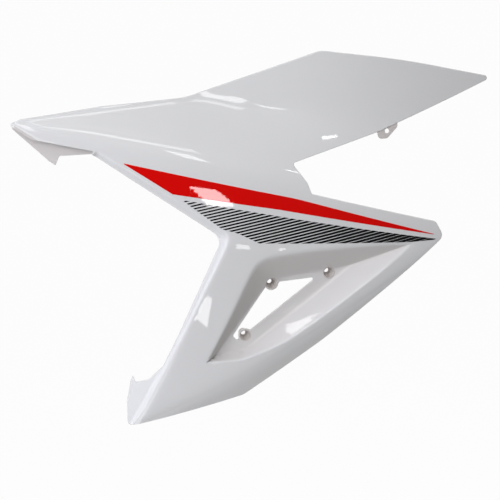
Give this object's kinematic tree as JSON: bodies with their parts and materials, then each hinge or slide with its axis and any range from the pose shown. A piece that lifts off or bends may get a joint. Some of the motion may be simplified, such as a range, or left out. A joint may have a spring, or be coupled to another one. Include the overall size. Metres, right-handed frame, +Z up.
{
  "type": "front fairing panel",
  "caption": "Moulded left-hand motorbike front fairing panel with a beak, an upper blade, a triangular scoop with screw cups, a turned-in front edge, a tapered stripe and a hatched field.",
  "frame": {"origin": "centre of the front upper screw cup of the scoop, on the floor where the screw's head seats", "axes": "+X rearward along the bike, +Y inward from the panel's outer face, +Z up"},
  "size_m": [0.5686, 0.0931, 0.4226],
  "materials": {
    "panel_plastic": "gloss white, clear-coated",
    "red_film": "gloss red film",
    "black_film": "gloss black film"
  },
  "bodies": {
    "root": {"moulded_panel": "panel_plastic", "red_stripe": "red_film", "black_hatch": "black_film"}
  },
  "joints": []
}
